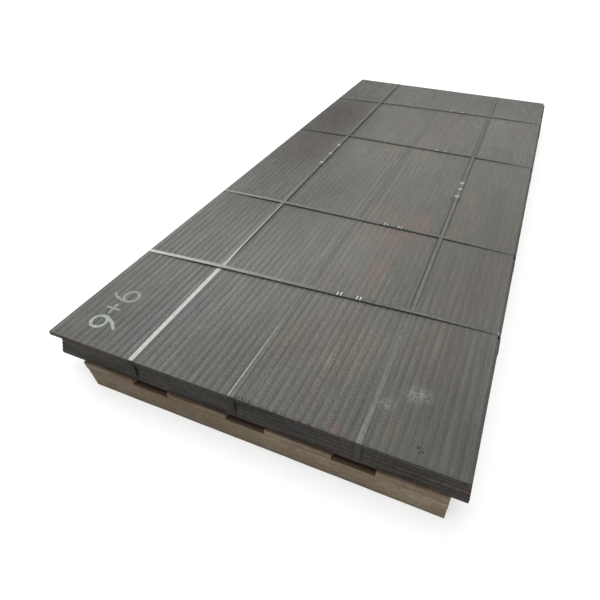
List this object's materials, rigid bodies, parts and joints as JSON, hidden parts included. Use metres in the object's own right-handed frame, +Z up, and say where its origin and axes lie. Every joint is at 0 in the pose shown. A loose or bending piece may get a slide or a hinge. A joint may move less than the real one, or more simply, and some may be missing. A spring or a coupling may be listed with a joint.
{
  "type": "strapped bundle of overlay plates",
  "caption": "Steel wear plates with a welded, ridged overlay, stacked on a timber skid and held by steel straps along and across, each closed with crimped seals.",
  "frame": {"origin": "bottom centre of the bundle, on the floor under the middle bearer", "axes": "+X across the plates, +Y along the weld beads towards the far end, +Z up"},
  "size_m": [1.4214, 3.414, 0.2053],
  "materials": {
    "overlay_plate": "dull grey weld overlay with light rust",
    "strap_steel": "bright to dull grey rolled strap",
    "seal_steel": "bright zinc-coated sheet",
    "deck_timber": "rough sawn softwood, weathered",
    "bearer_timber": "rough sawn softwood, weathered"
  },
  "bodies": {
    "root": {"plate_1": "overlay_plate", "plate_2": "overlay_plate", "plate_3": "overlay_plate", "plate_4": "overlay_plate", "plate_5": "overlay_plate", "plate_6": "overlay_plate", "long_strap_left": "strap_steel", "long_strap_middle": "strap_steel", "long_strap_right": "strap_steel", "cross_strap_1": "strap_steel", "cross_strap_2": "strap_steel", "cross_strap_3": "strap_steel", "cross_strap_4": "strap_steel", "seal_long_left_near": "seal_steel", "seal_long_left_mid": "seal_steel", "seal_long_left_far": "seal_steel", "seal_long_middle": "seal_steel", "seal_long_right_near": "seal_steel", "seal_long_right_mid": "seal_steel", "seal_long_right_far": "seal_steel", "seal_cross_1_left": "seal_steel", "seal_cross_1_right": "seal_steel", "seal_cross_2_left": "seal_steel", "seal_cross_2_right": "seal_steel", "seal_cross_3_left": "seal_steel", "seal_cross_3_right": "seal_steel", "seal_cross_4_left": "seal_steel", "seal_cross_4_right": "seal_steel", "deck_board_1": "deck_timber", "deck_board_2": "deck_timber", "deck_board_3": "deck_timber", "deck_board_4": "deck_timber", "bearer_1": "bearer_timber", "bearer_2": "bearer_timber", "bearer_3": "bearer_timber", "bearer_4": "bearer_timber", "bearer_5": "bearer_timber"}
  },
  "joints": []
}
